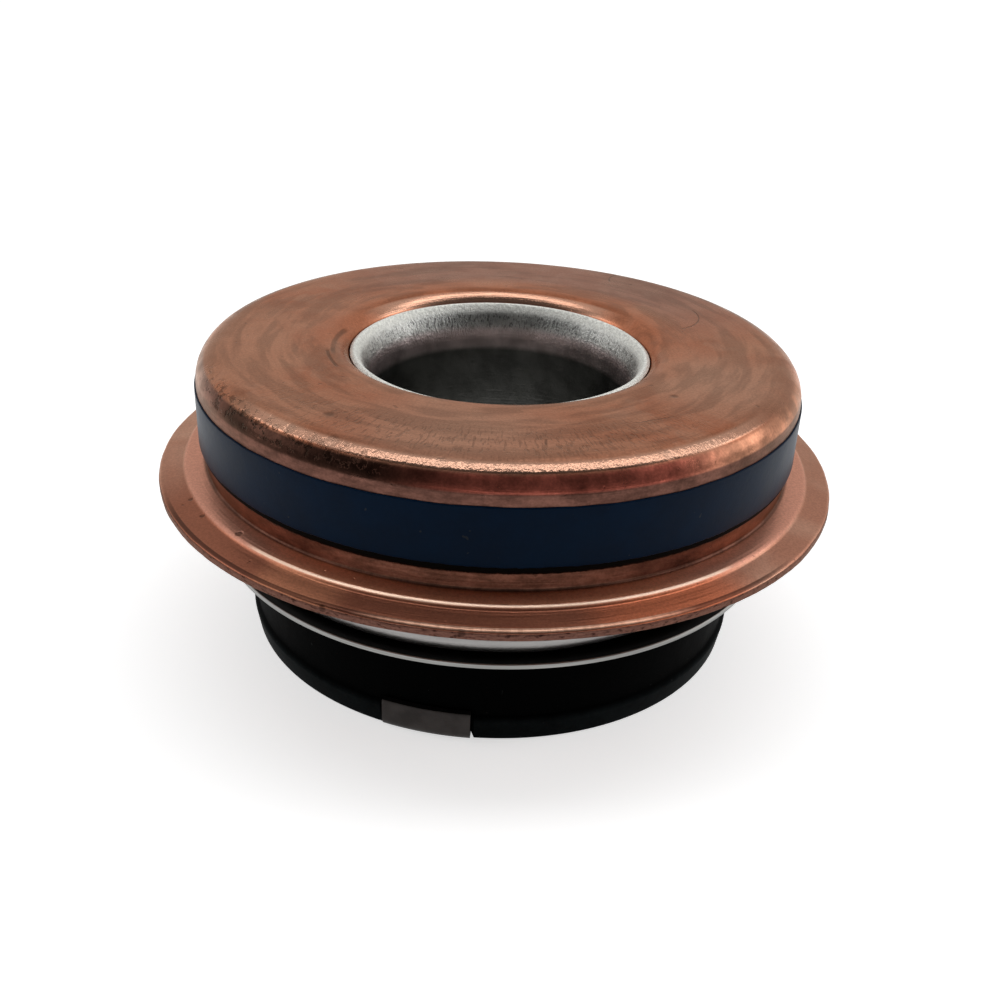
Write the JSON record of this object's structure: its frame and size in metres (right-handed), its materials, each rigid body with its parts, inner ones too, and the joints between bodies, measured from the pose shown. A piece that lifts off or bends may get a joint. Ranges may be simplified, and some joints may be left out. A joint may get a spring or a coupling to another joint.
{
  "type": "mechanical seal",
  "caption": "Unitised coolant pump seal: a flanged drawn cup holds a sprung carbon face, which runs on a hard ring bedded in rubber on a flared shaft sleeve with drive tabs.",
  "frame": {"origin": "centre of the underside of the rotating half, on the shaft axis", "axes": "+Z along the shaft axis towards the closed end of the casing; the three drive tabs are evenly spaced, with one centred on -Y"},
  "size_m": [0.0418, 0.0418, 0.0183],
  "materials": {
    "copper": "drawn copper sheet, stained and lightly scuffed",
    "sealant": "satin lacquer",
    "pressed_stainless": "pressed stainless sheet",
    "bellows_rubber": "moulded rubber",
    "spring_wire": "drawn spring wire",
    "carbon": "lapped carbon graphite",
    "sleeve_stainless": "satin stainless with a grainy flare",
    "hard_ceramic": "lapped ceramic",
    "cup_rubber": "smooth black rubber"
  },
  "bodies": {
    "casing_half": {"casing": "copper", "sealant_band": "sealant", "spring_seat": "pressed_stainless", "bellows": "bellows_rubber", "coil_spring": "spring_wire"},
    "sliding_head": {"spring_retainer": "pressed_stainless", "face_ring": "carbon"},
    "rotating_half": {"shaft_sleeve": "sleeve_stainless", "mating_ring": "hard_ceramic", "mating_ring_cup": "cup_rubber"}
  },
  "joints": [
    {"name": "spring_travel", "type": "slide", "parent": "casing_half", "child": "sliding_head", "axis": [0, 0, 1], "range_m": [0, 0.002], "stiffness_N_per_m": 1500, "springref_m": -0.002, "deforming": ["coil_spring", "bellows"]},
    {"name": "shaft_rotation", "type": "hinge", "parent": "sliding_head", "child": "rotating_half", "pos_m": [0, 0, 0], "axis": [0, 0, 1], "continuous": true}
  ]
}
